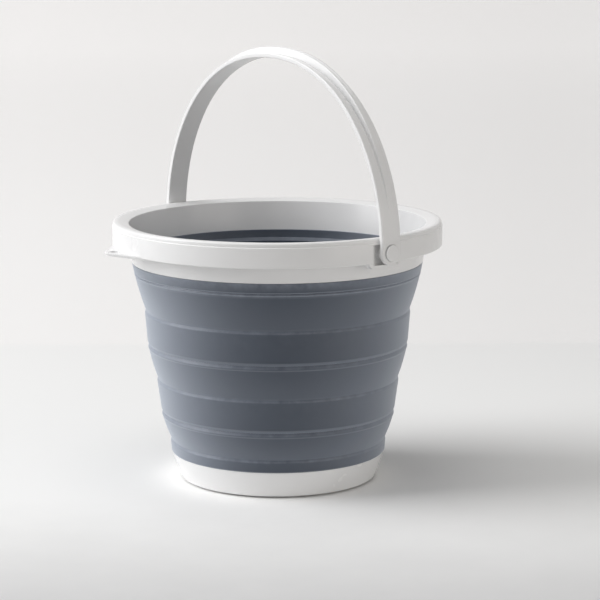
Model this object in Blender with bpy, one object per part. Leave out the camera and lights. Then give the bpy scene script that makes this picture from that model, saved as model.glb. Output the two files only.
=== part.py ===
"""Collapsible camp bucket with a bail, as separate moulded pieces.

A white collar with a broad rolled rim, a white base cup, and between them a soft grey
wall of stiff rings and thin sloping folds. Each fold turns inside out as the bucket is
pushed flat, so each ring comes down round the one below it. The bail swings on two snap
pins in the collar.

Units are metres, +Z is up. The origin is on the bucket's axis at the level that the
bucket stands on, and +X points along the bail's pivot axis. Pieces that slide have their
origin there too, since the slides run along the bucket's axis.
"""

import math

import bmesh
import bpy
from mathutils import Matrix, Vector

MM = 0.001

# Facets
AROUND = 64
CORNER_FACETS = 3
ARCH_FACETS = 40
EYE_FACETS = 5
PIN_FACETS = 24
TAB_FACETS = 6
SMOOTH_ANGLE_DEG = 30.0
FILLET_LIMIT_SHARE = 0.49
MERGE_DISTANCE = 0.001 * MM

# Clearances
SEAM_GAP = 0.3 * MM
RUNNING_GAP = 0.3 * MM
OVERRUN = 4.0 * MM
BITE = 0.6 * MM

# Base cup
BASE_HEIGHT = 27.0 * MM
BASE_FOOT_RADIUS = 95.0 * MM
BASE_TOP_RADIUS = 104.6 * MM
BASE_WALL = 2.6 * MM
BASE_EDGE_ROUND = 3.0 * MM
FLOOR_THICKNESS = 3.0 * MM
FLOOR_ROUND = 9.0 * MM
FOOT_RELIEF = 1.5 * MM
FOOT_WIDTH = 11.0 * MM
TONGUE_HEIGHT = 8.0 * MM
TONGUE_WALL = 1.8 * MM
FLOOR_PAD_RADIUS = 81.0 * MM
FLOOR_PAD_WIDTH = 12.0 * MM
FLOOR_PAD_HEIGHT = 1.3 * MM
FLOOR_PAD_LENGTH = 78.0 * MM
FLOOR_PAD_TURN_DEG = 90.0

# Soft wall: height of each zone from the base up, and how far it flares outwards
WALL_OVERHANG = 0.3 * MM
LOWER_RING_HEIGHT = 12.3 * MM
LOWER_RING_FLARE = 1.0 * MM
LOWER_FOLD_HEIGHT = 27.7 * MM
LOWER_FOLD_FLARE = 8.3 * MM
MIDDLE_RING_HEIGHT = 33.0 * MM
MIDDLE_RING_FLARE = 4.5 * MM
MIDDLE_FOLD_HEIGHT = 34.0 * MM
MIDDLE_FOLD_FLARE = 8.3 * MM
UPPER_RING_HEIGHT = 33.5 * MM
UPPER_RING_FLARE = 2.7 * MM
UPPER_FOLD_HEIGHT = 37.0 * MM
UPPER_FOLD_FLARE = 9.8 * MM
STRIP_HEIGHT = 10.2 * MM
STRIP_FLARE = 2.0 * MM
LINING_HEIGHT = 9.4 * MM
LINING_WALL = 1.8 * MM
RING_WALL = 2.8 * MM
FOLD_WALL = 1.8 * MM

# Wall seams: a ring's shoulder and heel, and the bead and crease at a fold's top, under a heel
SHOULDER_STEP = 1.2 * MM
SHOULDER_DROP = 2.6 * MM
SHOULDER_ROUND = 2.0 * MM
HEEL_STEP = 1.4 * MM
HEEL_RISE = 2.8 * MM
BEAD_STEP = 0.3 * MM
BEAD_DROP = 3.2 * MM
CREASE_STEP = 1.0 * MM
CREASE_DROP = 5.0 * MM
BASE_HEEL_SHARE = 0.4
STRIP_HEEL_SHARE = 0.5

# Collar
COLLAR_HEIGHT = 40.3 * MM
COLLAR_FLARE = 5.0 * MM
COLLAR_WALL = 2.4 * MM
SKIRT_REACH = 18.5 * MM
SKIRT_HEIGHT = 18.8 * MM
SKIRT_WALL = 2.6 * MM
SKIRT_EDGE_ROUND = 0.8 * MM
CROWN_HEIGHT = 5.0 * MM
CROWN_STEP = 0.6 * MM
CROWN_ROUND = 4.0 * MM
CROWN_FALL = 0.5 * MM
CROWN_REACH = 5.5 * MM
LIP_DROP = 2.5 * MM
LIP_ROUND = 0.8 * MM

# Bail
BAIL_RIM_GAP = 0.6 * MM
BAIL_WIDTH = 22.8 * MM
BAIL_THICKNESS = 4.5 * MM
BAIL_EDGE = 0.9 * MM
BAIL_HEIGHT = 170.5 * MM
BAIL_SIDE_POWER = 2.17
BAIL_TOP_POWER = 2.0
EYE_END_TURN_DEG = 82.0
RIB_WIDTH = 6.6 * MM
RIB_HEIGHT = 5.2 * MM
RIB_OFFSET = 2.6 * MM
RIB_START_SHARE = 0.2

# Bail seats in the collar: front is the side of the pivot towards -Y
PIVOT_DROP = 9.5 * MM
SEAT_FRONT_REACH = 19.2 * MM
SEAT_BACK_REACH = 12.6 * MM
SEAT_DEPTH = 6.3 * MM
SEAT_WALL = 2.4 * MM
SEAT_SHELF = 2.6 * MM
SEAT_TOP_DROP = 1.2 * MM
SEAT_INSET = 0.4 * MM
BOSS_RADIUS = 9.0 * MM

# Snap pins
PIN_SHANK_RADIUS = 4.0 * MM
PIN_HEAD_RADIUS = 7.6 * MM
PIN_HEAD_HEIGHT = 1.6 * MM
PIN_HEAD_EDGE = 0.5 * MM
PIN_BARB_RADIUS = 5.2 * MM
PIN_BARB_LENGTH = 3.6 * MM
PIN_TIP_RADIUS = 3.2 * MM

# Hang tab
TAB_TURN_DEG = -106.0
TAB_REACH = 17.0 * MM
TAB_TIP_RADIUS = 9.0 * MM
TAB_HALF_LENGTH = 42.0 * MM
TAB_THICKNESS = 2.6 * MM
TAB_LIFT = 0.4 * MM
TAB_HOLE_RADIUS = 4.8 * MM

# Levels of the seams between zones
LOWER_RING_TOP = BASE_HEIGHT + LOWER_RING_HEIGHT
LOWER_FOLD_TOP = LOWER_RING_TOP + LOWER_FOLD_HEIGHT
MIDDLE_RING_TOP = LOWER_FOLD_TOP + MIDDLE_RING_HEIGHT
MIDDLE_FOLD_TOP = MIDDLE_RING_TOP + MIDDLE_FOLD_HEIGHT
UPPER_RING_TOP = MIDDLE_FOLD_TOP + UPPER_RING_HEIGHT
UPPER_FOLD_TOP = UPPER_RING_TOP + UPPER_FOLD_HEIGHT
COLLAR_BOTTOM = UPPER_FOLD_TOP + STRIP_HEIGHT
RIM_TOP = COLLAR_BOTTOM + COLLAR_HEIGHT
SKIRT_TOP = RIM_TOP - CROWN_HEIGHT
SKIRT_BOTTOM = SKIRT_TOP - SKIRT_HEIGHT
PIVOT_HEIGHT = SKIRT_TOP - PIVOT_DROP

# Outer radii at those levels
WALL_BOTTOM_RADIUS = BASE_TOP_RADIUS + WALL_OVERHANG
LOWER_RING_TOP_RADIUS = WALL_BOTTOM_RADIUS + LOWER_RING_FLARE
LOWER_FOLD_TOP_RADIUS = LOWER_RING_TOP_RADIUS + LOWER_FOLD_FLARE
MIDDLE_RING_TOP_RADIUS = LOWER_FOLD_TOP_RADIUS + MIDDLE_RING_FLARE
MIDDLE_FOLD_TOP_RADIUS = MIDDLE_RING_TOP_RADIUS + MIDDLE_FOLD_FLARE
UPPER_RING_TOP_RADIUS = MIDDLE_FOLD_TOP_RADIUS + UPPER_RING_FLARE
UPPER_FOLD_TOP_RADIUS = UPPER_RING_TOP_RADIUS + UPPER_FOLD_FLARE
COLLAR_RADIUS = UPPER_FOLD_TOP_RADIUS + STRIP_FLARE
RIM_RADIUS = COLLAR_RADIUS + SKIRT_REACH
LIP_RADIUS = COLLAR_RADIUS + COLLAR_FLARE - COLLAR_WALL

# Reaches along the pivot axis, from the bucket's axis outwards
SEAT_FACE = RIM_RADIUS - SEAT_DEPTH
SEAT_BACK = SEAT_FACE - SEAT_WALL
BAIL_INNER_REACH = RIM_RADIUS + BAIL_RIM_GAP
BAIL_OUTER_REACH = BAIL_INNER_REACH + BAIL_THICKNESS
BOSS_FACE = BAIL_INNER_REACH - RUNNING_GAP
PIN_HOLE_RADIUS = PIN_SHANK_RADIUS + RUNNING_GAP


def clear_scene():
    """Remove every object that a new file starts with."""
    for thing in list(bpy.data.objects):
        bpy.data.objects.remove(thing, do_unlink=True)


def linear_colour(hex_colour):
    """Turn an sRGB hex colour into the linear values that a shader takes."""
    channels = [int(hex_colour[i:i + 2], 16) / 255 for i in (1, 3, 5)]
    return [c / 12.92 if c <= 0.04045 else ((c + 0.055) / 1.055) ** 2.4 for c in channels] + [1.0]


def plastic(name, hex_colour, roughness):
    """Make the material of a moulded plastic."""
    material = bpy.data.materials.new(name)
    material.use_nodes = True
    shader = material.node_tree.nodes["Principled BSDF"]
    shader.inputs["Base Color"].default_value = linear_colour(hex_colour)
    shader.inputs["Roughness"].default_value = roughness
    shader.inputs["Metallic"].default_value = 0.0
    return material


def joint_frame(name, height, parent=None):
    """Add the empty that carries the pieces which move together, at a height on the axis."""
    frame = bpy.data.objects.new(name, None)
    bpy.context.collection.objects.link(frame)
    frame.parent = parent
    frame.location = (0.0, 0.0, height)
    return frame


def finished(name, bm, material, parent=None):
    """Close a mesh, turn its faces outwards and make it a smooth-shaded object."""
    bmesh.ops.remove_doubles(bm, verts=bm.verts, dist=MERGE_DISTANCE)
    bmesh.ops.dissolve_degenerate(bm, edges=bm.edges, dist=MERGE_DISTANCE)
    bmesh.ops.recalc_face_normals(bm, faces=bm.faces)
    mesh = bpy.data.meshes.new(name)
    bm.to_mesh(mesh)
    bm.free()
    mesh.materials.append(material)
    mesh.shade_smooth()
    mesh.set_sharp_from_angle(angle=math.radians(SMOOTH_ANGLE_DEG))
    thing = bpy.data.objects.new(name, mesh)
    bpy.context.collection.objects.link(thing)
    thing.parent = parent
    return thing


def combine(target, operation, shape):
    """Join a shape to a target, or cut it out, and keep the shape hidden."""
    shape.hide_render = True
    shape.display_type = "WIRE"
    modifier = target.modifiers.new(shape.name, "BOOLEAN")
    modifier.operation = operation
    modifier.solver = "EXACT"
    modifier.object = shape


def rounded(corners):
    """Turn corners of (radius, height, fillet) into points, with each fillet as a curve."""
    points = []
    for index, (radius, height, fillet) in enumerate(corners):
        corner = Vector((radius, height))
        if fillet == 0.0:
            points.append(corner)
            continue
        before = Vector(corners[index - 1][:2]) - corner
        after = Vector(corners[(index + 1) % len(corners)][:2]) - corner
        limit = FILLET_LIMIT_SHARE * min(before.length, after.length)
        reach = min(fillet / math.tan(before.angle(after) / 2), limit)
        start = corner + before.normalized() * reach
        end = corner + after.normalized() * reach
        for step in range(CORNER_FACETS + 1):
            share = step / CORNER_FACETS
            first = start.lerp(corner, share)
            points.append(first.lerp(corner.lerp(end, share), share))
    return points


def turned(name, corners, material, parent=None, facets=AROUND, solid=False):
    """Turn a profile of (radius, height, fillet) corners about Z.

    A solid piece's profile starts and ends on the axis, and any other profile is a loop.
    """
    bm = bmesh.new()
    verts = [bm.verts.new((point.x, 0.0, point.y)) for point in rounded(corners)]
    edges = [bm.edges.new(pair) for pair in zip(verts, verts[1:])]
    if not solid:
        edges.append(bm.edges.new((verts[-1], verts[0])))
    bmesh.ops.spin(bm, geom=verts + edges, axis=(0.0, 0.0, 1.0), cent=(0.0, 0.0, 0.0),
                   angle=2 * math.pi, steps=facets, use_merge=True)
    return finished(name, bm, material, parent)


def loft(bm, rings):
    """Add a solid through rings of points, with a flat face at each end."""
    loops = [[bm.verts.new(point) for point in ring] for ring in rings]
    for low, high in zip(loops, loops[1:]):
        for index in range(len(low)):
            bm.faces.new((low[index - 1], low[index], high[index], high[index - 1]))
    bm.faces.new(loops[0])
    bm.faces.new(loops[-1])


def arc(radius, start, end, facets):
    """Points in plan along an arc about the origin."""
    turns = [start + (end - start) * step / facets for step in range(facets + 1)]
    return [Vector((radius * math.cos(turn), radius * math.sin(turn))) for turn in turns]


def plate(bm, outline, bottom, top):
    """Add a plate with an outline in plan, between two levels."""
    loft(bm, [[(point.x, point.y, level) for point in outline] for level in (bottom, top)])


def box(bm, low, high):
    """Add a box between two corners."""
    corners = ((low[0], low[1]), (high[0], low[1]), (high[0], high[1]), (low[0], high[1]))
    plate(bm, [Vector(corner) for corner in corners], low[2], high[2])


def bar(bm, radius, start, end, height):
    """Add a round bar along X, from one reach to another, at a height."""
    rings = []
    for reach in (start, end):
        rings.append([(reach, point.x, height + point.y) for point in
                      arc(radius, 0.0, 2 * math.pi, PIN_FACETS)[:-1]])
    loft(bm, rings)


def build_base(white):
    """The base cup: foot, floor with its raised pad, wall, and tongue inside the lowest ring."""
    floor_top = FOOT_RELIEF + FLOOR_THICKNESS
    wall_slope = (BASE_TOP_RADIUS - BASE_FOOT_RADIUS) / BASE_HEIGHT
    tongue_radius = WALL_BOTTOM_RADIUS - RING_WALL - SEAM_GAP
    tongue_flare = LOWER_RING_FLARE * TONGUE_HEIGHT / LOWER_RING_HEIGHT
    tongue_top = BASE_HEIGHT + TONGUE_HEIGHT
    recess_radius = BASE_FOOT_RADIUS - FOOT_WIDTH
    base = turned("base_cup", [
        (0.0, floor_top, 0.0),
        (BASE_FOOT_RADIUS + wall_slope * floor_top - BASE_WALL, floor_top, FLOOR_ROUND),
        (tongue_radius - TONGUE_WALL, BASE_HEIGHT, 0.0),
        (tongue_radius + tongue_flare - TONGUE_WALL, tongue_top, 0.0),
        (tongue_radius + tongue_flare, tongue_top, 0.0),
        (tongue_radius, BASE_HEIGHT, 0.0),
        (BASE_TOP_RADIUS, BASE_HEIGHT, 0.0),
        (BASE_FOOT_RADIUS, 0.0, BASE_EDGE_ROUND),
        (recess_radius, 0.0, 0.0),
        (recess_radius - FOOT_RELIEF, FOOT_RELIEF, 0.0),
        (0.0, FOOT_RELIEF, 0.0),
    ], white, solid=True)
    middle = math.radians(FLOOR_PAD_TURN_DEG)
    half_turn = FLOOR_PAD_LENGTH / FLOOR_PAD_RADIUS / 2
    outer = arc(FLOOR_PAD_RADIUS, middle - half_turn, middle + half_turn, TAB_FACETS)
    inner = arc(FLOOR_PAD_RADIUS - FLOOR_PAD_WIDTH, middle + half_turn, middle - half_turn, TAB_FACETS)
    pad = bmesh.new()
    plate(pad, outer + inner, floor_top - BITE, floor_top + FLOOR_PAD_HEIGHT)
    combine(base, "UNION", finished("floor_pad_shape", pad, white))


def build_ring(name, levels, radii, grey, parent=None, heel_share=1.0):
    """A stiff ring of the wall, between two levels, with its outer radius at each."""
    bottom = levels[0] + SEAM_GAP / 2
    top = levels[1] - SEAM_GAP / 2
    return turned(name, [
        (radii[0] - RING_WALL, bottom, 0.0),
        (radii[0] - HEEL_STEP * heel_share, bottom, 0.0),
        (radii[0], bottom + HEEL_RISE * heel_share, 0.0),
        (radii[1], top - SHOULDER_DROP, SHOULDER_ROUND),
        (radii[1] - SHOULDER_STEP, top, 0.0),
        (radii[1] - RING_WALL, top, 0.0),
    ], grey, parent)


def build_fold(name, levels, radii, grey, parent=None, heel_share=1.0):
    """A thin sloping fold, from the shoulder of the ring below it to the heel of the next."""
    bottom = levels[0] + SEAM_GAP / 2
    top = levels[1] - SEAM_GAP / 2
    foot = radii[0] - SHOULDER_STEP
    crease = radii[1] - CREASE_STEP * heel_share
    crease_level = top - CREASE_DROP * heel_share
    return turned(name, [
        (foot - FOLD_WALL, bottom, 0.0),
        (foot, bottom, 0.0),
        (crease, crease_level, 0.0),
        (radii[1] - BEAD_STEP * heel_share, top - BEAD_DROP * heel_share, 0.0),
        (radii[1] - HEEL_STEP * heel_share, top, 0.0),
        (radii[1] - RING_WALL, top, 0.0),
        (crease - FOLD_WALL, crease_level, 0.0),
    ], grey, parent)


def build_strip(grey, parent):
    """The strip at the top of the wall, with the lining that is bonded inside the collar."""
    bottom = UPPER_FOLD_TOP + SEAM_GAP / 2
    top = COLLAR_BOTTOM - SEAM_GAP
    lining_radius = COLLAR_RADIUS - COLLAR_WALL - SEAM_GAP
    lining_flare = COLLAR_FLARE * LINING_HEIGHT / COLLAR_HEIGHT
    lining_top = top + LINING_HEIGHT
    return turned("wall_top_strip", [
        (UPPER_FOLD_TOP_RADIUS - RING_WALL, bottom, 0.0),
        (UPPER_FOLD_TOP_RADIUS - HEEL_STEP * STRIP_HEEL_SHARE, bottom, 0.0),
        (UPPER_FOLD_TOP_RADIUS, bottom + HEEL_RISE * STRIP_HEEL_SHARE, 0.0),
        (COLLAR_RADIUS, top, 0.0),
        (lining_radius, top, 0.0),
        (lining_radius + lining_flare, lining_top, 0.0),
        (lining_radius + lining_flare - LINING_WALL, lining_top, LINING_WALL / 2),
        (lining_radius - LINING_WALL, top, 0.0),
    ], grey, parent)


def build_seats(collar, white, parent):
    """The two bail seats: a walled pocket in the skirt, with a boss and a hole for the pin."""
    shelf_top = PIVOT_HEIGHT - BAIL_WIDTH / 2 + RUNNING_GAP
    pocket_top = SKIRT_TOP - SEAT_TOP_DROP
    outer = RIM_RADIUS - SEAT_INSET
    front = SEAT_FRONT_REACH + SEAT_WALL
    back = SEAT_BACK_REACH + SEAT_WALL
    walls = bmesh.new()
    pockets = bmesh.new()
    bosses = bmesh.new()
    holes = bmesh.new()
    for side in (1, -1):
        outline = [Vector((SEAT_BACK, -front))]
        outline += arc(outer, -math.asin(front / outer), math.asin(back / outer), TAB_FACETS)
        outline += [Vector((SEAT_BACK, back))]
        plate(walls, [Vector((side * point.x, point.y)) for point in outline],
              shelf_top - SEAT_SHELF, SKIRT_TOP)
        box(pockets, (side * SEAT_FACE, -SEAT_FRONT_REACH, shelf_top),
            (side * (RIM_RADIUS + OVERRUN), SEAT_BACK_REACH, pocket_top))
        bar(bosses, BOSS_RADIUS, side * (SEAT_FACE - SEAT_WALL / 2), side * BOSS_FACE, PIVOT_HEIGHT)
        bar(holes, PIN_HOLE_RADIUS, side * (SEAT_BACK - OVERRUN), side * (BOSS_FACE + OVERRUN), PIVOT_HEIGHT)
    combine(collar, "UNION", finished("seat_walls_shape", walls, white, parent))
    combine(collar, "DIFFERENCE", finished("seat_pockets_shape", pockets, white, parent))
    combine(collar, "UNION", finished("seat_bosses_shape", bosses, white, parent))
    combine(collar, "DIFFERENCE", finished("seat_holes_shape", holes, white, parent))


def build_tab(collar, white, parent):
    """The hang tab: a plate with a round nose at the foot of the skirt, and its hole.

    The nose's arc ends where the straight sides from the plate's root corners touch it.
    """
    root_radius = RIM_RADIUS - SKIRT_WALL / 2
    half_turn = TAB_HALF_LENGTH / root_radius
    nose = Vector((RIM_RADIUS + TAB_REACH - TAB_TIP_RADIUS, 0.0))
    root = arc(root_radius, -half_turn, half_turn, TAB_FACETS)
    side = root[-1] - nose
    touch = math.atan2(side.y, side.x) - math.acos(TAB_TIP_RADIUS / side.length)
    outline = root + [nose + point for point in arc(TAB_TIP_RADIUS, touch, -touch, TAB_FACETS)]
    turn = Matrix.Rotation(math.radians(TAB_TURN_DEG), 2)
    bottom = SKIRT_BOTTOM + TAB_LIFT
    tab = bmesh.new()
    plate(tab, [turn @ point for point in outline], bottom, bottom + TAB_THICKNESS)
    combine(collar, "UNION", finished("hang_tab_shape", tab, white, parent))
    rim = arc(TAB_HOLE_RADIUS, 0.0, 2 * math.pi, PIN_FACETS)[:-1]
    hole = bmesh.new()
    plate(hole, [turn @ (nose + point) for point in rim], bottom - OVERRUN, bottom + TAB_THICKNESS + OVERRUN)
    combine(collar, "DIFFERENCE", finished("hang_hole_shape", hole, white, parent))


def build_collar(white, parent):
    """The collar: inner wall, rolled rim and skirt as one turned channel, then its details."""
    lip_level = RIM_TOP - LIP_DROP
    collar = turned("rim_collar", [
        (COLLAR_RADIUS - COLLAR_WALL, COLLAR_BOTTOM, 0.0),
        (COLLAR_RADIUS, COLLAR_BOTTOM, 0.0),
        (LIP_RADIUS + COLLAR_WALL, lip_level - SKIRT_WALL, 0.0),
        (RIM_RADIUS - SKIRT_WALL, RIM_TOP - SKIRT_WALL, CROWN_ROUND),
        (RIM_RADIUS - SKIRT_WALL, SKIRT_BOTTOM, 0.0),
        (RIM_RADIUS, SKIRT_BOTTOM, SKIRT_EDGE_ROUND),
        (RIM_RADIUS, SKIRT_TOP, 0.0),
        (RIM_RADIUS - CROWN_STEP, SKIRT_TOP + CROWN_STEP / 2, 0.0),
        (RIM_RADIUS - CROWN_STEP, RIM_TOP - CROWN_FALL, CROWN_ROUND),
        (RIM_RADIUS - CROWN_REACH, RIM_TOP, 0.0),
        (LIP_RADIUS, lip_level, LIP_ROUND),
    ], white, parent)
    build_seats(collar, white, parent)
    build_tab(collar, white, parent)


def bail_section(half_width, rib_height):
    """The bail's section as (across, outwards) points: a band with a rib on its outer face."""
    edge = min(BAIL_EDGE, half_width / 2)
    rib_low = min(RIB_OFFSET - RIB_WIDTH / 2, half_width - edge)
    rib_high = min(RIB_OFFSET + RIB_WIDTH / 2, half_width - edge)
    return [
        (-half_width + edge, 0.0),
        (-half_width, edge),
        (-half_width, BAIL_THICKNESS - edge),
        (-half_width + edge, BAIL_THICKNESS),
        (rib_low, BAIL_THICKNESS),
        (rib_low, BAIL_THICKNESS + rib_height),
        (rib_high, BAIL_THICKNESS + rib_height),
        (rib_high, BAIL_THICKNESS),
        (half_width - edge, BAIL_THICKNESS),
        (half_width, BAIL_THICKNESS - edge),
        (half_width, edge),
        (half_width - edge, 0.0),
    ]


def eye_stations():
    """Stations from the right-hand eye's foot up to the pivot axis, where the eye is widest."""
    half_width = BAIL_WIDTH / 2
    stations = []
    for step in range(EYE_FACETS):
        turn = math.radians(EYE_END_TURN_DEG) * (1 - step / EYE_FACETS)
        foot = Vector((BAIL_INNER_REACH, -half_width * math.sin(turn)))
        stations.append((foot, Vector((1.0, 0.0)), half_width * math.cos(turn), 0.0))
    return stations


def arch_stations():
    """Stations along the arch, from the right-hand pivot over the top to the left-hand one.

    The arch is a rounded square curve: its sides stay upright longer than an ellipse's do.
    The rib rises from nothing, first slowly and then faster, to its full height at the top.
    """
    stations = []
    for step in range(ARCH_FACETS + 1):
        turn = math.pi * step / ARCH_FACETS
        side = math.copysign(abs(math.cos(turn)) ** (2 / BAIL_SIDE_POWER), math.cos(turn))
        rise = abs(math.sin(turn)) ** (2 / BAIL_TOP_POWER)
        lean = math.copysign(abs(side) ** (BAIL_SIDE_POWER - 1), side) * BAIL_SIDE_POWER / BAIL_INNER_REACH
        lift = rise ** (BAIL_TOP_POWER - 1) * BAIL_TOP_POWER / BAIL_HEIGHT
        share = max(rise - RIB_START_SHARE, 0.0) / (1 - RIB_START_SHARE)
        point = Vector((BAIL_INNER_REACH * side, BAIL_HEIGHT * rise))
        rib_height = RIB_HEIGHT * share * share * (3 - 2 * share)
        stations.append((point, Vector((lean, lift)).normalized(), BAIL_WIDTH / 2, rib_height))
    return stations


def build_bail(white, parent):
    """The bail, about its pivot: a band lofted round its arch, with an eye at each end."""
    right_eye = eye_stations()
    left_eye = [(Vector((-point.x, point.y)), -outwards, half_width, rib_height)
                for point, outwards, half_width, rib_height in reversed(right_eye)]
    rings = []
    for point, outwards, half_width, rib_height in right_eye + arch_stations() + left_eye:
        ring = []
        for across, out in bail_section(half_width, rib_height):
            place = point + outwards * out
            ring.append((place.x, across, place.y))
        rings.append(ring)
    band = bmesh.new()
    loft(band, rings)
    bail = finished("bail_handle", band, white, parent)
    holes = bmesh.new()
    bar(holes, PIN_HOLE_RADIUS, -BAIL_OUTER_REACH - OVERRUN, BAIL_OUTER_REACH + OVERRUN, 0.0)
    combine(bail, "DIFFERENCE", finished("eye_holes_shape", holes, white, parent))


def build_pin(name, turn, white, parent):
    """A snap pin: head outside the eye, shank through eye and boss, barb behind the seat."""
    head_bottom = BAIL_OUTER_REACH + RUNNING_GAP
    head_top = head_bottom + PIN_HEAD_HEIGHT
    barb_top = SEAT_BACK - RUNNING_GAP
    pin = turned(name, [
        (0.0, barb_top - PIN_BARB_LENGTH, 0.0),
        (PIN_TIP_RADIUS, barb_top - PIN_BARB_LENGTH, 0.0),
        (PIN_BARB_RADIUS, barb_top, 0.0),
        (PIN_SHANK_RADIUS, barb_top, 0.0),
        (PIN_SHANK_RADIUS, head_bottom, 0.0),
        (PIN_HEAD_RADIUS, head_bottom, 0.0),
        (PIN_HEAD_RADIUS, head_top - PIN_HEAD_EDGE, 0.0),
        (PIN_HEAD_RADIUS - PIN_HEAD_EDGE, head_top, 0.0),
        (0.0, head_top, 0.0),
    ], white, parent, PIN_FACETS, solid=True)
    pin.location = (0.0, 0.0, PIVOT_HEIGHT)
    pin.rotation_euler = (0.0, turn, 0.0)


def main():
    """Build every piece, from the base up."""
    clear_scene()
    white = plastic("white_polypropylene", "#eeedea", 0.32)
    grey = plastic("slate_grey_soft_rubber", "#5d646e", 0.6)
    middle_band = joint_frame("middle_band_frame", 0.0)
    upper_band = joint_frame("upper_band_frame", 0.0, middle_band)
    collar = joint_frame("collar_frame", 0.0, upper_band)
    bail = joint_frame("bail_frame", PIVOT_HEIGHT, collar)

    build_base(white)
    build_ring("wall_lower_ring", (BASE_HEIGHT + SEAM_GAP / 2, LOWER_RING_TOP),
               (WALL_BOTTOM_RADIUS, LOWER_RING_TOP_RADIUS), grey, heel_share=BASE_HEEL_SHARE)
    build_fold("wall_lower_fold", (LOWER_RING_TOP, LOWER_FOLD_TOP),
               (LOWER_RING_TOP_RADIUS, LOWER_FOLD_TOP_RADIUS), grey)
    build_ring("wall_middle_ring", (LOWER_FOLD_TOP, MIDDLE_RING_TOP),
               (LOWER_FOLD_TOP_RADIUS, MIDDLE_RING_TOP_RADIUS), grey, middle_band)
    build_fold("wall_middle_fold", (MIDDLE_RING_TOP, MIDDLE_FOLD_TOP),
               (MIDDLE_RING_TOP_RADIUS, MIDDLE_FOLD_TOP_RADIUS), grey, middle_band)
    build_ring("wall_upper_ring", (MIDDLE_FOLD_TOP, UPPER_RING_TOP),
               (MIDDLE_FOLD_TOP_RADIUS, UPPER_RING_TOP_RADIUS), grey, upper_band)
    build_fold("wall_upper_fold", (UPPER_RING_TOP, UPPER_FOLD_TOP),
               (UPPER_RING_TOP_RADIUS, UPPER_FOLD_TOP_RADIUS), grey, upper_band, STRIP_HEEL_SHARE)
    build_strip(grey, collar)
    build_collar(white, collar)
    build_pin("pivot_pin_right", math.pi / 2, white, collar)
    build_pin("pivot_pin_left", -math.pi / 2, white, collar)
    build_bail(white, bail)


main()
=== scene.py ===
"""Looks of a collapsible camp bucket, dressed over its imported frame.

Sizes are written in millimetres and turned to metres where a mesh is made. The bucket's
axis is +Z and its bail swings about +X.
"""
from __future__ import annotations

import logging
import math
from dataclasses import dataclass
from enum import Enum

import bmesh
import bpy
from mathutils import Matrix, Vector


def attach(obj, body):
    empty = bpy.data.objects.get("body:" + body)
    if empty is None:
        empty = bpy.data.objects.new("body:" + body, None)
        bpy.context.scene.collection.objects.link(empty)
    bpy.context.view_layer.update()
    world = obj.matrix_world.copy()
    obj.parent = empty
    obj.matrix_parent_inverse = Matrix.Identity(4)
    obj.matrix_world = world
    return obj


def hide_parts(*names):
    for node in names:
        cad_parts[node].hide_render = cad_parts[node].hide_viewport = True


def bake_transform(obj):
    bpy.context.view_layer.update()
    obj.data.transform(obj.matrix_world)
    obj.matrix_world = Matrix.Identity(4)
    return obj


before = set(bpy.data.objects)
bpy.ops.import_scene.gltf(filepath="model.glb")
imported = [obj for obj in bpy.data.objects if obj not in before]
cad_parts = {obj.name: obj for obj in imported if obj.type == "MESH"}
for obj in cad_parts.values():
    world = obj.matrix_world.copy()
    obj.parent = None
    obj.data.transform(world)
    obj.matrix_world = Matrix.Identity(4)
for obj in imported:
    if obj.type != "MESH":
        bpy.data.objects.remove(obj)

MM = 0.001
MERGE = 0.001
MIN_STEP = 0.01
FILLET_STEPS = 8
FILLET_SHARE = 0.49
BEVEL_STEPS = 3
BAR_FACETS = 96
SHARP_DEG = 40.0
SOFTEN_DEG = 38.0
LATHE_PATH = 100.0
OVERSHOOT = 4.0
PIVOT = 240.5
STRESS_AND_LEDGE_HIGHLIGHT = "stress_whitening"

Corner = tuple[float, float, float]
Inputs = dict[str | int, object]

log = logging.getLogger("bucket")


class Side(Enum):
    """The two ends of the bail's pivot axis."""

    RIGHT = 1
    LEFT = -1


class Carving(Enum):
    """What a shape does to the piece that it is carved into or joined to."""

    JOIN = "UNION"
    CUT = "DIFFERENCE"


def linear_colour(hex_colour: str) -> tuple[float, float, float, float]:
    """Turn an sRGB hex colour into linear values.

    Args:
        hex_colour: The colour as "#rrggbb".

    Returns:
        Linear red, green and blue, and an alpha of one.
    """
    channels = [int(hex_colour[i:i + 2], 16) / 255 for i in (1, 3, 5)]
    red, green, blue = (c / 12.92 if c <= 0.04045 else ((c + 0.055) / 1.055) ** 2.4 for c in channels)
    return red, green, blue, 1.0


def feed(tree: bpy.types.NodeTree, node: bpy.types.Node, inputs: Inputs) -> None:
    """Link or set a node's inputs.

    Args:
        tree: The node's tree.
        node: The node.
        inputs: What each input gets, by its name or index: an output to link, or else a value.
    """
    for name, given in inputs.items():
        if isinstance(given, bpy.types.NodeSocket):
            tree.links.new(given, node.inputs[name])
        else:
            node.inputs[name].default_value = given


def add_node(tree: bpy.types.NodeTree, kind: str, inputs: Inputs | None = None,
             **settings: object) -> bpy.types.Node:
    """Add a node with its settings and its inputs.

    Args:
        tree: The node tree that gets the node.
        kind: The node's type name.
        inputs: What each input gets, by its name or index: an output to link, or else a value.
        **settings: Properties of the node, by name.

    Returns:
        The new node.
    """
    node = tree.nodes.new(kind)
    for name, value in settings.items():
        setattr(node, name, value)
    feed(tree, node, inputs or {})
    return node


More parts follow.
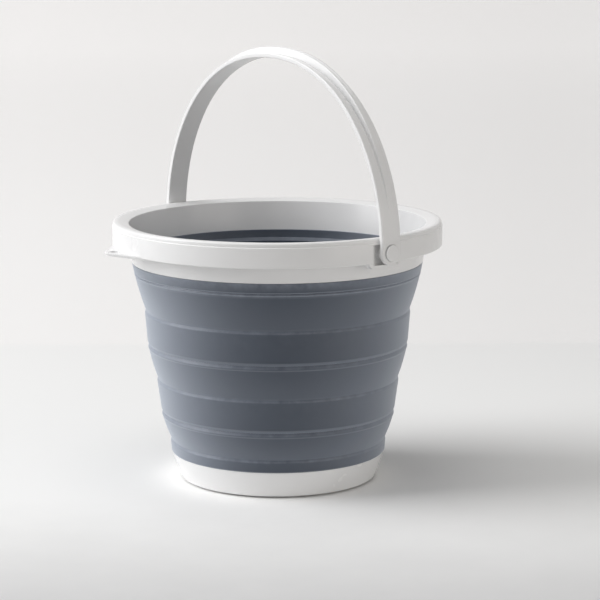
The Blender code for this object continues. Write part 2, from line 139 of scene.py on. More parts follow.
def rounded(corners: list[Corner], closed: bool = True) -> list[Vector]:
    """Turn corners with fillets into points, each fillet as an arc of a circle.

    Args:
        corners: Corners as (x, y, fillet radius), in millimetres.
        closed: Whether the last corner joins the first.

    Returns:
        Points in metres.
    """
    points = []
    for index, (x, y, fillet) in enumerate(corners):
        corner = Vector((x, y))
        at_end = not closed and index in (0, len(corners) - 1)
        if fillet == 0.0 or at_end:
            points.append(corner * MM)
            continue
        before = Vector(corners[index - 1][:2]) - corner
        after = Vector(corners[(index + 1) % len(corners)][:2]) - corner
        half = before.angle(after) / 2
        reach = min(fillet / math.tan(half), FILLET_SHARE * before.length, FILLET_SHARE * after.length)
        start = corner + before.normalized() * reach
        end = corner + after.normalized() * reach
        weight = math.sin(half)
        for step in range(FILLET_STEPS + 1):
            share = step / FILLET_STEPS
            pull = 2 * share * (1 - share) * weight
            total = (1 - share) ** 2 + pull + share ** 2
            place = (start * (1 - share) ** 2 + corner * pull + end * share ** 2) / total
            points.append(place * MM)
    return points


def arc(radius: float, start: float, end: float, steps: int) -> list[Vector]:
    """Points along an arc about the origin.

    Args:
        radius: The arc's radius.
        start: The first point's turn, in radians.
        end: The last point's turn, in radians.
        steps: How many facets the arc has.

    Returns:
        Points in the plane, one more than the facets.
    """
    turns = [start + (end - start) * step / steps for step in range(steps + 1)]
    return [Vector((radius * math.cos(turn), radius * math.sin(turn))) for turn in turns]


def piece_from(bm: bmesh.types.BMesh, name: str,
               material: bpy.types.Material | None = None) -> bpy.types.Object:
    """Close a mesh, turn its faces outwards and make it a smooth-shaded object.

    Args:
        bm: The mesh, which is freed.
        name: The object's name.
        material: The finish, if the piece has one already.

    Returns:
        The new object, at the origin.
    """
    bmesh.ops.remove_doubles(bm, verts=bm.verts, dist=MERGE * MM)
    bmesh.ops.dissolve_degenerate(bm, edges=bm.edges, dist=MERGE * MM)
    bmesh.ops.recalc_face_normals(bm, faces=bm.faces)
    mesh = bpy.data.meshes.new(name)
    bm.to_mesh(mesh)
    bm.free()
    if material is not None:
        mesh.materials.append(material)
    mesh.shade_smooth()
    mesh.set_sharp_from_angle(angle=math.radians(SHARP_DEG))
    piece = bpy.data.objects.new(name, mesh)
    bpy.context.collection.objects.link(piece)
    return piece


def settle(piece: bpy.types.Object) -> None:
    """Turn a piece's modifiers into plain mesh.

    Args:
        piece: The object, which keeps its name and place.
    """
    graph = bpy.context.evaluated_depsgraph_get()
    mesh = bpy.data.meshes.new_from_object(piece.evaluated_get(graph), depsgraph=graph)
    piece.modifiers.clear()
    piece.data = mesh
    mesh.name = piece.name


def carve(piece: bpy.types.Object, carving: Carving, shape: bpy.types.Object) -> None:
    """Join a shape to a piece, or cut it out, and remove the shape.

    Args:
        piece: The piece that changes.
        carving: Whether the shape is joined or cut.
        shape: The closed shape.
    """
    modifier = piece.modifiers.new(shape.name, "BOOLEAN")
    modifier.operation = carving.value
    modifier.solver = "EXACT"
    modifier.object = shape
    settle(piece)
    bpy.data.objects.remove(shape, do_unlink=True)


def soften(piece: bpy.types.Object, width: float) -> None:
    """Round a piece's sharp edges a little, as a mould does.

    Args:
        piece: The piece that changes.
        width: The rounding's width, in millimetres.
    """
    bevel = piece.modifiers.new("soften", "BEVEL")
    bevel.width = width * MM
    bevel.segments = BEVEL_STEPS
    bevel.limit_method = "ANGLE"
    bevel.angle_limit = math.radians(SOFTEN_DEG)
    settle(piece)
    piece.data.shade_smooth()
    piece.data.set_sharp_from_angle(angle=math.radians(SOFTEN_DEG))


def loft(bm: bmesh.types.BMesh, rings: list[list[Vector]]) -> None:
    """Add a solid through rings of points, with a flat face at each end.

    Args:
        bm: The mesh that gets the solid.
        rings: Rings with the same number of points each, in metres.
    """
    loops = [[bm.verts.new(point) for point in ring] for ring in rings]
    for low, high in zip(loops, loops[1:]):
        for index in range(len(low)):
            bm.faces.new((low[index - 1], low[index], high[index], high[index - 1]))
    bm.faces.new(loops[0])
    bm.faces.new(loops[-1])


def plate(bm: bmesh.types.BMesh, outline: list[Vector], bottom: float, top: float) -> None:
    """Add a plate with an outline in plan, between two levels.

    Args:
        bm: The mesh that gets the plate.
        outline: The plate's outline in plan, in millimetres.
        bottom: Its lower level, in millimetres.
        top: Its upper level, in millimetres.
    """
    loft(bm, [[Vector((p.x, p.y, level)) * MM for p in outline] for level in (bottom, top)])


def bar(bm: bmesh.types.BMesh, radius: float, start: float, end: float, level: float) -> None:
    """Add a round bar along X.

    Args:
        bm: The mesh that gets the bar.
        radius: The bar's radius, in millimetres.
        start: Where it starts along X, in millimetres.
        end: Where it ends along X, in millimetres.
        level: Its height, in millimetres.
    """
    circle = arc(radius, 0.0, 2 * math.pi, BAR_FACETS)[:-1]
    loft(bm, [[Vector((reach, p.x, level + p.y)) * MM for p in circle] for reach in (start, end)])


class Lathe:
    """A Geometry Nodes tree that turns a profile about the bucket's axis."""

    def __init__(self) -> None:
        """Build the tree and keep each input's identifier by its name."""
        self.tree = bpy.data.node_groups.new("lathe", "GeometryNodeTree")
        face = self.tree.interface
        face.new_socket("Geometry", in_out="OUTPUT", socket_type="NodeSocketGeometry")
        kinds = {"Profile": "NodeSocketObject", "Facets": "NodeSocketInt",
                 "Path radius": "NodeSocketFloat", "Merge distance": "NodeSocketFloat",
                 "Finish": "NodeSocketMaterial"}
        self.sockets = {name: face.new_socket(name, in_out="INPUT", socket_type=kind).identifier
                        for name, kind in kinds.items()}
        self._wire()

    def _wire(self) -> None:
        """Sweep the profile round a circle, close its seams and give it its finish."""
        tree = self.tree
        given = add_node(tree, "NodeGroupInput").outputs
        profile = add_node(tree, "GeometryNodeObjectInfo", {"Object": given["Profile"]})
        inwards = add_node(tree, "ShaderNodeMath", {0: given["Path radius"], 1: -1.0},
                           operation="MULTIPLY")
        offset = add_node(tree, "ShaderNodeCombineXYZ", {"X": inwards.outputs[0]})
        placed = add_node(tree, "GeometryNodeTransform", {
            "Geometry": profile.outputs["Geometry"], "Translation": offset.outputs[0],
            "Scale": (1.0, -1.0, 1.0)})
        path = add_node(tree, "GeometryNodeCurvePrimitiveCircle", {
            "Resolution": given["Facets"], "Radius": given["Path radius"]})
        swept = add_node(tree, "GeometryNodeCurveToMesh", {
            "Curve": path.outputs["Curve"], "Profile Curve": placed.outputs["Geometry"]})
        merged = add_node(tree, "GeometryNodeMergeByDistance", {
            "Geometry": swept.outputs["Mesh"], "Distance": given["Merge distance"]})
        real = add_node(tree, "GeometryNodeRealizeInstances", {"Geometry": merged.outputs["Geometry"]})
        dressed = add_node(tree, "GeometryNodeSetMaterial", {
            "Geometry": real.outputs["Geometry"], "Material": given["Finish"]})
        add_node(tree, "NodeGroupOutput", {"Geometry": dressed.outputs["Geometry"]})

    def turn(self, name: str, points: list[Vector], material: bpy.types.Material, closed: bool = True,
             facets: int = 224) -> bpy.types.Object:
        """Turn a profile into a closed piece.

        Args:
            name: The piece's name.
            points: The profile as (radius, height) points in metres.
            material: The piece's finish.
            closed: Whether the profile is a loop, or starts and ends on the axis.
            facets: How many facets the piece has around its axis.

        Returns:
            The piece, a plain mesh at the origin.
        """
        curve = bpy.data.curves.new(f"{name}_profile", "CURVE")
        curve.dimensions = "2D"
        spline = curve.splines.new("POLY")
        spline.points.add(len(points) - 1)
        for knot, point in zip(spline.points, points):
            knot.co = (point.x, point.y, 0.0, 1.0)
        spline.use_cyclic_u = closed
        profile = bpy.data.objects.new(curve.name, curve)
        holder = bpy.data.objects.new(f"{name}_holder", bpy.data.meshes.new(f"{name}_holder"))
        for thing in (profile, holder):
            bpy.context.collection.objects.link(thing)
        modifier = holder.modifiers.new("lathe", "NODES")
        modifier.node_group = self.tree
        modifier[self.sockets["Profile"]] = profile
        modifier[self.sockets["Facets"]] = facets
        modifier[self.sockets["Path radius"]] = LATHE_PATH * MM
        modifier[self.sockets["Merge distance"]] = MERGE * MM
        modifier[self.sockets["Finish"]] = material
        settle(holder)
        bm = bmesh.new()
        bm.from_mesh(holder.data)
        piece = piece_from(bm, name, material)
        for thing in (profile, holder):
            bpy.data.objects.remove(thing, do_unlink=True)
        return piece


@dataclass(frozen=True)
class MouldedPolypropylene:
    """Off-white polypropylene, injection moulded: soft gloss over a skin like fine eggshell."""

    colour: str = "#f0f0f0"
    flow_colour: str = "#e8e8e8"
    roughness: tuple[float, float] = (0.2, 0.3)
    ior: float = 1.49
    flow_size: float = 60.0
    flow_detail: float = 3.0
    flow_break: float = 0.55
    skin_size: float = 1.6
    skin_detail: float = 2.0
    skin_depth: float = 0.012
    skin_strength: float = 0.5

    def build(self) -> bpy.types.Material:
        """Make the material.

        Returns:
            The material, with its pattern on Object coordinates.
        """
        material = bpy.data.materials.new("white_moulded_polypropylene")
        material.use_nodes = True
        tree = material.node_tree
        place = add_node(tree, "ShaderNodeTexCoord").outputs["Object"]
        # Resin flow leaves patches a few centimetres wide, a shade apart, which the eye takes as depth
        flow = add_node(tree, "ShaderNodeTexNoise", {
            "Vector": place, "Scale": 1 / (self.flow_size * MM), "Detail": self.flow_detail,
            "Roughness": self.flow_break}).outputs["Fac"]
        tint = add_node(tree, "ShaderNodeMix", {
            0: flow, 6: linear_colour(self.colour), 7: linear_colour(self.flow_colour)}, data_type="RGBA")
        gloss = add_node(tree, "ShaderNodeMapRange", {
            "Value": flow, "To Min": self.roughness[0], "To Max": self.roughness[1]})
        # The mould's eggshell skin is about 0.3 mm wide, drawn at 1.6 mm so that it shows
        skin = add_node(tree, "ShaderNodeTexNoise", {
            "Vector": place, "Scale": 1 / (self.skin_size * MM), "Detail": self.skin_detail})
        bump = add_node(tree, "ShaderNodeBump", {
            "Height": skin.outputs["Fac"], "Strength": self.skin_strength,
            "Distance": self.skin_depth * MM})
        feed(tree, tree.nodes["Principled BSDF"], {
            "Base Color": tint.outputs[2], "Roughness": gloss.outputs[0], "Normal": bump.outputs[0],
            "IOR": self.ior})
        return material


@dataclass(frozen=True)
class SoftRubber:
    """Slate-grey thermoplastic rubber, overmoulded: matt, with a painted sheen that pales it along its
    edges.
    """

    colour: str = "#2c3442"
    bloom_colour: str = "#353e4b"
    painted_sheen_colour: str = "#969eab"
    stress_and_highlight_colour: str = "#8b929e"
    roughness: tuple[float, float] = (0.42, 0.52)
    ior: float = 1.5
    bloom_size: float = 35.0
    bloom_detail: float = 4.0
    bloom_break: float = 0.6
    grain_size: float = 1.2
    grain_detail: float = 3.0
    grain_depth: float = 0.03
    grain_strength: float = 0.6
    painted_sheen_blend: float = 0.5
    painted_sheen_power: float = 1.0
    stress_and_highlight_size: float = 9.0
    stress_and_highlight_detail: float = 2.0
    specular: float = 0.4
    sheen: float = 0.5
    sheen_roughness: float = 0.56
    sheen_colour: str = "#e6ebf2"

    def build(self) -> bpy.types.Material:
        """Make the material.

        Returns:
            The material, with its pattern on Object coordinates.
        """
        material = bpy.data.materials.new("slate_grey_moulded_soft_rubber")
        material.use_nodes = True
        tree = material.node_tree
        place = add_node(tree, "ShaderNodeTexCoord").outputs["Object"]
        # Oils that rise to the surface leave it a shade paler in patches, like a faint bloom
        bloom = add_node(tree, "ShaderNodeTexNoise", {
            "Vector": place, "Scale": 1 / (self.bloom_size * MM), "Detail": self.bloom_detail,
            "Roughness": self.bloom_break}).outputs["Fac"]
        bloomed = add_node(tree, "ShaderNodeMix", {
            0: bloom, 6: linear_colour(self.colour), 7: linear_colour(self.bloom_colour)},
            data_type="RGBA")
        # Where the wall bends, stretched rubber turns paler in uneven streaks; the same pale streaks on the
        # inner ledge are a painted highlight, where its upward slope catches light
        stress_and_highlight = add_node(tree, "ShaderNodeAttribute", attribute_name=STRESS_AND_LEDGE_HIGHLIGHT)
        streaks = add_node(tree, "ShaderNodeTexNoise", {
            "Vector": place, "Scale": 1 / (self.stress_and_highlight_size * MM), "Detail": self.stress_and_highlight_detail})
        amount = add_node(tree, "ShaderNodeMath", {
            0: stress_and_highlight.outputs["Fac"], 1: streaks.outputs["Fac"]}, operation="MULTIPLY")
        stretched_and_highlighted = add_node(tree, "ShaderNodeMix", {
            0: amount.outputs[0], 6: bloomed.outputs[2], 7: linear_colour(self.stress_and_highlight_colour)},
            data_type="RGBA")
        # Painted sheen: seen along the surface, the base colour turns pale, standing in for light caught at
        # a glancing angle
        grazing = add_node(tree, "ShaderNodeLayerWeight", {"Blend": self.painted_sheen_blend})
        edge = add_node(tree, "ShaderNodeMath", {0: grazing.outputs["Facing"], 1: self.painted_sheen_power},
                        operation="POWER")
        with_painted_sheen = add_node(tree, "ShaderNodeMix", {
            0: edge.outputs[0], 6: stretched_and_highlighted.outputs[2], 7: linear_colour(self.painted_sheen_colour)},
            data_type="RGBA")
        matt = add_node(tree, "ShaderNodeMapRange", {
            "Value": bloom, "To Min": self.roughness[0], "To Max": self.roughness[1]})
        # The spark-eroded mould's grain is 0.1 mm wide, drawn at 1.2 mm so that it shows
        grain = add_node(tree, "ShaderNodeTexNoise", {
            "Vector": place, "Scale": 1 / (self.grain_size * MM), "Detail": self.grain_detail})
        bump = add_node(tree, "ShaderNodeBump", {
            "Height": grain.outputs["Fac"], "Strength": self.grain_strength,
            "Distance": self.grain_depth * MM})
        # The sheen lobe catches side light, and with the painted sheen in its base colour the rubber pales
        # towards its edges
        feed(tree, tree.nodes["Principled BSDF"], {
            "Base Color": with_painted_sheen.outputs[2], "Roughness": matt.outputs[0], "Normal": bump.outputs[0],
            "IOR": self.ior, "Specular IOR Level": self.specular, "Sheen Weight": self.sheen,
            "Sheen Roughness": self.sheen_roughness, "Sheen Tint": linear_colour(self.sheen_colour)})
        return material


@dataclass(frozen=True)
class Seam:
    """A seam round the wall: its level, the outer radius there, and how deep the steps beside it are."""

    level: float
    radius: float
    heel_step: float = 1.5
    heel_rise: float = 3.0
    bead_step: float = 0.1
    bead_drop: float = 3.2
    crease_step: float = 1.1
    crease_drop: float = 5.0


@dataclass
class SoftWall:
    """The soft wall: stiff rings and thin folds by turns, with shoulders, heels and beads at the seams."""

    seams: tuple[Seam, ...] = (
        Seam(27.0, 104.9, heel_step=0.5, heel_rise=0.8), Seam(39.3, 105.9), Seam(67.0, 114.2),
        Seam(100.0, 118.7), Seam(134.0, 127.0), Seam(167.5, 129.7),
        Seam(204.5, 139.5, heel_step=0.8, heel_rise=1.2, bead_step=0.0, bead_drop=1.5, crease_step=0.8,
             crease_drop=2.6))
    ring_wall: float = 2.8
    fold_wall: float = 1.8
    shoulder_step: float = 1.3
    shoulder_drop: float = 2.8
    shoulder_fillet: float = 3.0
    heel_fillet: float = 2.6
    bead_fillet: float = 1.6
    crease_fillet: float = 0.8
    foot_fillet: float = 0.6
    inner_fillet: float = 0.5
    butt_fillet: float = 0.4
    edge_fillet: float = 0.3
    bulge: float = 0.7
    bulge_steps: int = 14
    tuck: float = 3.0
    foot_tuck: tuple[float, float] = (1.4, 0.2)
    foot_wall: float = 1.6
    head_gap: float = 0.1
    head_tuck: float = 0.6
    strip_top: tuple[float, float] = (214.7, 141.5)
    strip_wall: float = 3.6
    strip_heel: float = 0.2
    bond_gap: float = 0.3
    collar_wall: float = 2.4
    lining_top: float = 223.8
    lining_wall: float = 1.8
    lining_lean: float = 5.0 / 42.3
    lining_fillet: float = 0.9
    ledge_level: float = 212.6
    ledge_slope: float = 3.4
    ledge_width: float = 2.8
    ledge_fillet: float = 1.2
    ledge_edge: float = 1.4
    ledge_foot: tuple[float, float] = (1.2, 2.6)
    stress_and_highlight_drop: float = 1.5
    stress_and_highlight_reach: float = 2.2
    bodies: tuple[str, ...] = ("base", "middle_band", "upper_band", "collar")
    names: tuple[str, ...] = ("lower", "middle", "upper")

    def ring_profile(self, low: Seam, high: Seam) -> list[Vector]:
        """A stiff ring's section.

        Args:
            low: The seam at its heel.
            high: The seam at its shoulder.

        Returns:
            The section as (radius, height) points.
        """
        flare = (high.radius - low.radius) / (high.level - low.level)
        return rounded([
            (low.radius - self.ring_wall, low.level, self.inner_fillet),
            (low.radius - low.heel_step, low.level, self.edge_fillet),
            (low.radius + flare * low.heel_rise, low.level + low.heel_rise, self.heel_fillet),
            (high.radius - flare * self.shoulder_drop, high.level - self.shoulder_drop,
             self.shoulder_fillet),
            (high.radius - self.shoulder_step, high.level, self.butt_fillet),
            (high.radius - self.ring_wall, high.level, self.inner_fillet)])

    def fold_profile(self, low: Seam, high: Seam) -> list[Vector]:
        """A thin fold's section, tucked into the rings at both ends.

        Args:
            low: The seam at the shoulder below it.
            high: The seam at the heel above it.

        Returns:
            The section as (radius, height) points.
        """
        foot = low.radius - self.shoulder_step
        head = high.radius - high.heel_step
        crease = Vector((high.radius - high.crease_step, high.level - high.crease_drop))
        outer = []
        for step in range(1, self.bulge_steps):
            share = step / self.bulge_steps
            radius = foot + (crease.x - foot) * share + 4 * self.bulge * share * (1 - share)
            outer.append((radius, low.level + (crease.y - low.level) * share))
        under, over = low.level - self.tuck, high.level + self.tuck
        return rounded([
            *((foot - inset, under, 0.0) for inset in self.foot_tuck),
            (foot, low.level, self.foot_fillet),
            *((x, y, 0.0) for x, y in outer),
            (crease.x, crease.y, self.crease_fillet),
            (high.radius - high.bead_step, high.level - high.bead_drop, self.bead_fillet),
            (head - self.head_gap, high.level, self.butt_fillet),
            (head + self.head_gap, over, 0.0), (head - self.head_tuck, over, 0.0),
            (high.radius - self.ring_wall, high.level, self.butt_fillet),
            *((x - self.fold_wall, y, 0.0) for x, y in reversed(outer)),
            (foot - self.foot_wall, low.level, self.butt_fillet)])

    def strip_profile(self) -> list[Vector]:
        """The section of the strip at the wall's top, with its lining and ledge inside the collar.

        Returns:
            The section as (radius, height) points.
        """
        low = self.seams[-1]
        top, radius = self.strip_top
        lining = radius - self.collar_wall - self.bond_gap
        head = lining + self.lining_lean * (self.lining_top - top)
        inside = lining - self.lining_wall
        nose = inside - self.ledge_width
        foot_step, foot_drop = self.ledge_foot
        return rounded([
            (low.radius - self.strip_wall, low.level, self.inner_fillet),
            (low.radius - low.heel_step, low.level, self.edge_fillet),
            (low.radius + self.strip_heel, low.level + low.heel_rise, self.crease_fillet),
            (radius, top - self.bond_gap, self.edge_fillet), (lining, top - self.bond_gap, 0.0),
            (head, self.lining_top, self.inner_fillet),
            (head - self.lining_wall, self.lining_top, self.lining_fillet),
            (inside, self.ledge_level + self.ledge_slope, self.foot_fillet),
            (nose, self.ledge_level, self.ledge_fillet),
            (nose, self.ledge_level - self.ledge_edge, self.crease_fillet),
            (inside - foot_step, self.ledge_level - foot_drop, self.crease_fillet)])

    def build(self, lathe: Lathe, rubber: bpy.types.Material) -> list[bpy.types.Object]:
        """Build and dress every zone of the wall.

        Args:
            lathe: The tree that turns the sections.
            rubber: The wall's finish.

        Returns:
            The zones, from the lowest ring up.
        """
        pieces = []
        for index, name in enumerate(self.names):
            heel, shoulder, head = self.seams[2 * index:2 * index + 3]
            ring = lathe.turn(f"soft_wall_{name}_ring", self.ring_profile(heel, shoulder), rubber)
            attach(ring, self.bodies[index])
            self._declare(ring, f"wall_{name}_ring")
            fold = lathe.turn(f"soft_wall_{name}_fold", self.fold_profile(shoulder, head), rubber)
            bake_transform(fold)
            self._declare(fold, f"wall_{name}_fold")
            pieces += [ring, fold]
        strip = lathe.turn("soft_wall_top_strip", self.strip_profile(), rubber)
        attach(strip, self.bodies[-1])
        self._declare(strip, "wall_top_strip")
        return pieces + [strip]

    def _mark_stress_and_highlight(self, piece: bpy.types.Object) -> None:
        """Note on each vertex how pale its finish turns there: stress whitening near the seams, and a
        painted highlight on the inner ledge.
        """
        levels = [seam.level - self.stress_and_highlight_drop for seam in self.seams]
        # The inner ledge gets a painted highlight, where its upward slope catches light
        levels.append(self.ledge_level + self.ledge_slope / 2)
        stress_and_highlight = piece.data.attributes.new(STRESS_AND_LEDGE_HIGHLIGHT, "FLOAT", "POINT")
        for vertex, value in zip(piece.data.vertices, stress_and_highlight.data):
            gap = min(abs(vertex.co.z / MM - level) for level in levels)
            value.value = max(0.0, 1.0 - gap / self.stress_and_highlight_reach)

    def _declare(self, piece: bpy.types.Object, node: str) -> None:
        """Mark a zone's stretched rubber and its painted ledge highlight, and hide the solid it stands for.

        Args:
            piece: The zone.
            node: The solid's name.
        """
        self._mark_stress_and_highlight(piece)
        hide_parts(node)


@dataclass
class BaseCup:
    """The white base cup, with its foot ring, its stepped floor and the raised pad on it."""

    height: float = 27.0
    foot_radius: float = 95.0
    top_radius: float = 104.6
    wall: float = 2.6
    top_fillet: float = 0.6
    edge_round: float = 1.0
    edge_fillet: float = 0.3
    foot_gap: float = 1.9
    foot_inset: float = 8.0
    foot_step: float = 0.2
    foot_width: float = 11.0
    foot_relief: float = 1.5
    floor_top: float = 4.5
    floor_round: float = 9.0
    floor_step_radius: float = 79.5
    floor_step: float = 0.7
    step_round: float = 0.8
    tongue_radius: float = 101.8
    tongue_wall: float = 1.8
    tongue_height: float = 8.0
    tongue_flare: float = 0.6
    tongue_fillet: float = 0.5
    root_fillet: float = 2.0
    pad_radius: float = 75.0
    pad_width: float = 12.0
    pad_length: float = 78.0
    pad_height: float = 1.3
    pad_sink: float = 2.0
    pad_facets: int = 40
    pad_end_facets: int = 16
    mould_round: float = 0.5

    def profile(self) -> list[Vector]:
        """The cup's section, from the floor's middle round to the underside's.

        Returns:
            The section as (radius, height) points.
        """
        lean = (self.top_radius - self.foot_radius) / self.height
        recess = self.foot_radius - self.foot_width
        ring = self.foot_radius - self.foot_inset
        inside = self.foot_radius + lean * self.floor_top - self.wall
        sunk = self.floor_top - self.floor_step
        tongue_top = self.height + self.tongue_height
        return rounded([
            (0.0, sunk, 0.0),
            (self.floor_step_radius - self.step_round, sunk, self.step_round),
            (self.floor_step_radius, self.floor_top, self.step_round),
            (inside, self.floor_top, self.floor_round),
            (self.tongue_radius - self.tongue_wall, self.height, self.root_fillet),
            (self.tongue_radius + self.tongue_flare - self.tongue_wall, tongue_top, self.tongue_fillet),
            (self.tongue_radius + self.tongue_flare, tongue_top, self.tongue_fillet),
            (self.tongue_radius, self.height, self.edge_fillet),
            (self.top_radius, self.height, self.top_fillet),
            (self.foot_radius + lean * self.foot_gap, self.foot_gap, self.edge_round),
            (ring, self.foot_gap - self.foot_step, self.edge_fillet),
            (ring - self.foot_step, 0.0, self.edge_fillet),
            (recess, 0.0, self.top_fillet),
            (recess - self.foot_relief, self.foot_relief, self.top_fillet),
            (0.0, self.foot_relief, 0.0)], closed=False)

    def pad(self) -> bpy.types.Object:
        """The raised pad on the floor, a crescent with round ends.

        Returns:
            The pad's closed shape, which reaches down into the floor.
        """
        half_turn = self.pad_length / self.pad_radius / 2
        first, last = math.pi / 2 - half_turn, math.pi / 2 + half_turn
        outer = arc(self.pad_radius + self.pad_width / 2, first, last, self.pad_facets)
        inner = arc(self.pad_radius - self.pad_width / 2, last, first, self.pad_facets)
        outline = []
        for side, turn in ((outer, last), (inner, first)):
            outline += side
            centre = Vector((math.cos(turn), math.sin(turn))) * self.pad_radius
            start = math.atan2(side[-1].y - centre.y, side[-1].x - centre.x)
            end_arc = arc(self.pad_width / 2, start, start + math.pi, self.pad_end_facets)
            outline += [centre + point for point in end_arc[1:-1]]
        bm = bmesh.new()
        plate(bm, outline, self.floor_top - self.pad_sink, self.floor_top + self.pad_height)
        return piece_from(bm, "floor_pad_shape")

    def build(self, lathe: Lathe, white: bpy.types.Material) -> list[bpy.types.Object]:
        """Build and dress the cup.

        Args:
            lathe: The tree that turns the section.
            white: The cup's finish.

        Returns:
            The cup.
        """
        cup = lathe.turn("base_cup_shell", self.profile(), white, closed=False)
        carve(cup, Carving.JOIN, self.pad())
        soften(cup, self.mould_round)
        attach(cup, "base")
        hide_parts("base_cup")
        return [cup]


@dataclass
class RimCollar:
    """The white collar: inner wall, rolled rim and skirt, with the bail's seats and the hang tab."""

    bottom: float = 214.7
    bottom_radius: float = 141.5
    wall: float = 2.4
    foot_fillets: tuple[float, float] = (0.4, 0.5)
    rim_top: float = 255.0
    rim_radius: float = 160.0
    lip_radius: float = 144.1
    skirt_top: float = 250.0
    skirt_bottom: float = 231.2
    skirt_wall: float = 2.6
    skirt_fillets: tuple[float, float] = (0.6, 0.9)
    channel_fillet: float = 2.0
    crown_step: float = 0.9
    crown_step_fillet: float = 0.25
    crown_round: float = 4.0
    crown_fall: float = 0.5
    crown_reach: float = 5.5
    crown_fillet: float = 12.0
    lip_drop: float = 2.5
    lip_round: float = 0.8
    facets: int = 256
    seat_front: float = 19.2
    seat_back: float = 12.6
    seat_depth: float = 6.3
    seat_wall: float = 2.4
    seat_inset: float = 0.4
    seat_chamfer: float = 3.6
    seat_facets: int = 24
    shelf_top: float = 229.4
    shelf: float = 2.6
    pocket_top: float = 248.8
    pocket_round: float = 4.5
    pocket_ramp: float = 8.0
    pocket_lip: float = 0.9
    ramp_corners: tuple[tuple[float, float], ...] = ((4.0, 0.75), (1.5, 0.3))
    ramp_end_fillets: tuple[float, float] = (0.6, 0.3)
    pocket_corner: float = 1.5
    boss_radius: float = 7.2
    boss_face: float = 160.3
    boss_root: float = 1.2
    hole_radius: float = 4.3
    hole_depth: float = 8.0
    tab_turn_deg: float = -106.0
    tab_reach: float = 16.9
    tab_tip_radius: float = 9.0
    tab_half_length: float = 42.0
    tab_thickness: float = 3.2
    tab_lift: float = -1.2
    tab_chamfer: float = 2.2
    tab_hole_radius: float = 4.8
    tab_facets: int = 32
    mould_round: float = 0.45

    def profile(self) -> list[Vector]:
        """The collar's section as a loop, from its foot round the skirt and back down inside.

        Returns:
            The section as (radius, height) points.
        """
        lip = self.rim_top - self.lip_drop
        inner_skirt = self.rim_radius - self.skirt_wall
        crown = self.rim_radius - self.crown_step
        return rounded([
            (self.bottom_radius - self.wall, self.bottom, self.foot_fillets[0]),
            (self.bottom_radius, self.bottom, self.foot_fillets[1]),
            (self.lip_radius + self.wall, lip - self.skirt_wall, self.channel_fillet),
            (inner_skirt, self.rim_top - self.skirt_wall, self.crown_round),
            (inner_skirt, self.skirt_bottom, self.skirt_fillets[0]),
            (self.rim_radius, self.skirt_bottom, self.skirt_fillets[1]),
            (self.rim_radius, self.skirt_top, self.crown_step_fillet),
            (crown, self.skirt_top + self.crown_step / 2, self.crown_step_fillet),
            (crown, self.rim_top - self.crown_fall, self.crown_round),
            (self.rim_radius - self.crown_reach, self.rim_top, self.crown_fillet),
            (self.lip_radius, lip, self.lip_round)])

    def seat_block(self, sign: int) -> list[list[Vector]]:
        """The block that a bail seat is cut from, chamfered below.

        Args:
            sign: One for the right-hand seat, minus one for the left-hand one.

        Returns:
            Rings of points from the bottom up, in metres.
        """
        rear = self.rim_radius - self.seat_depth - self.seat_wall
        outer = self.rim_radius - self.seat_inset
        back = self.seat_back + self.seat_wall
        bottom = self.shelf_top - self.shelf
        rings = []
        for level, inset in ((bottom, self.seat_chamfer), (bottom + self.seat_chamfer, 0.0),
                             (self.skirt_top, 0.0)):
            front = self.seat_front + self.seat_wall - inset
            outline = [Vector((rear, -front))]
            outline += arc(outer, -math.asin(front / outer), math.asin(back / outer), self.seat_facets)
            outline += [Vector((rear, back))]
            rings.append([Vector((sign * p.x, p.y, level)) * MM for p in outline])
        return rings

    def pocket_outline(self, sign: int) -> list[Vector]:
        """A seat's pocket in plan: open outwards, with a rounded ramp at its front.

        Args:
            sign: One for the right-hand seat, minus one for the left-hand one.

        Returns:
            The outline in millimetres.
        """
        face = self.rim_radius - self.seat_depth
        reach = self.rim_radius + OVERSHOOT
        front = -self.seat_front
        inner_end, outer_end = self.ramp_end_fillets
        ramp = [(self.rim_radius - lips * self.pocket_lip, front + share * self.pocket_ramp,
                 self.pocket_round) for lips, share in self.ramp_corners]
        corners = [
            (face, front + self.pocket_ramp, inner_end), *ramp,
            (self.rim_radius - self.pocket_lip, front, outer_end), (reach, front, 0.0),
            (reach, self.seat_back, 0.0), (face, self.seat_back, self.pocket_corner)]
        return [Vector((sign * p.x, p.y)) / MM for p in rounded(corners)]

    def carve_seats(self, collar: bpy.types.Object) -> None:
        """Give the collar its two bail seats, each a pocket with a boss and a hole for the pin.

        Args:
            collar: The turned collar.
        """
        face = self.rim_radius - self.seat_depth
        carvings = {"seat_walls": Carving.JOIN, "seat_pockets": Carving.CUT,
                    "seat_bosses": Carving.JOIN, "seat_holes": Carving.CUT}
        walls, pockets, bosses, holes = shapes = [bmesh.new() for _ in carvings]
        for side in Side:
            sign = side.value
            loft(walls, self.seat_block(sign))
            plate(pockets, self.pocket_outline(sign), self.shelf_top, self.pocket_top)
            bar(bosses, self.boss_radius, sign * (face - self.boss_root), sign * self.boss_face, PIVOT)
            bar(holes, self.hole_radius, sign * (face - self.hole_depth),
                sign * (self.boss_face + OVERSHOOT), PIVOT)
        for shape, (name, carving) in zip(shapes, carvings.items()):
            carve(collar, carving, piece_from(shape, f"{name}_shape"))

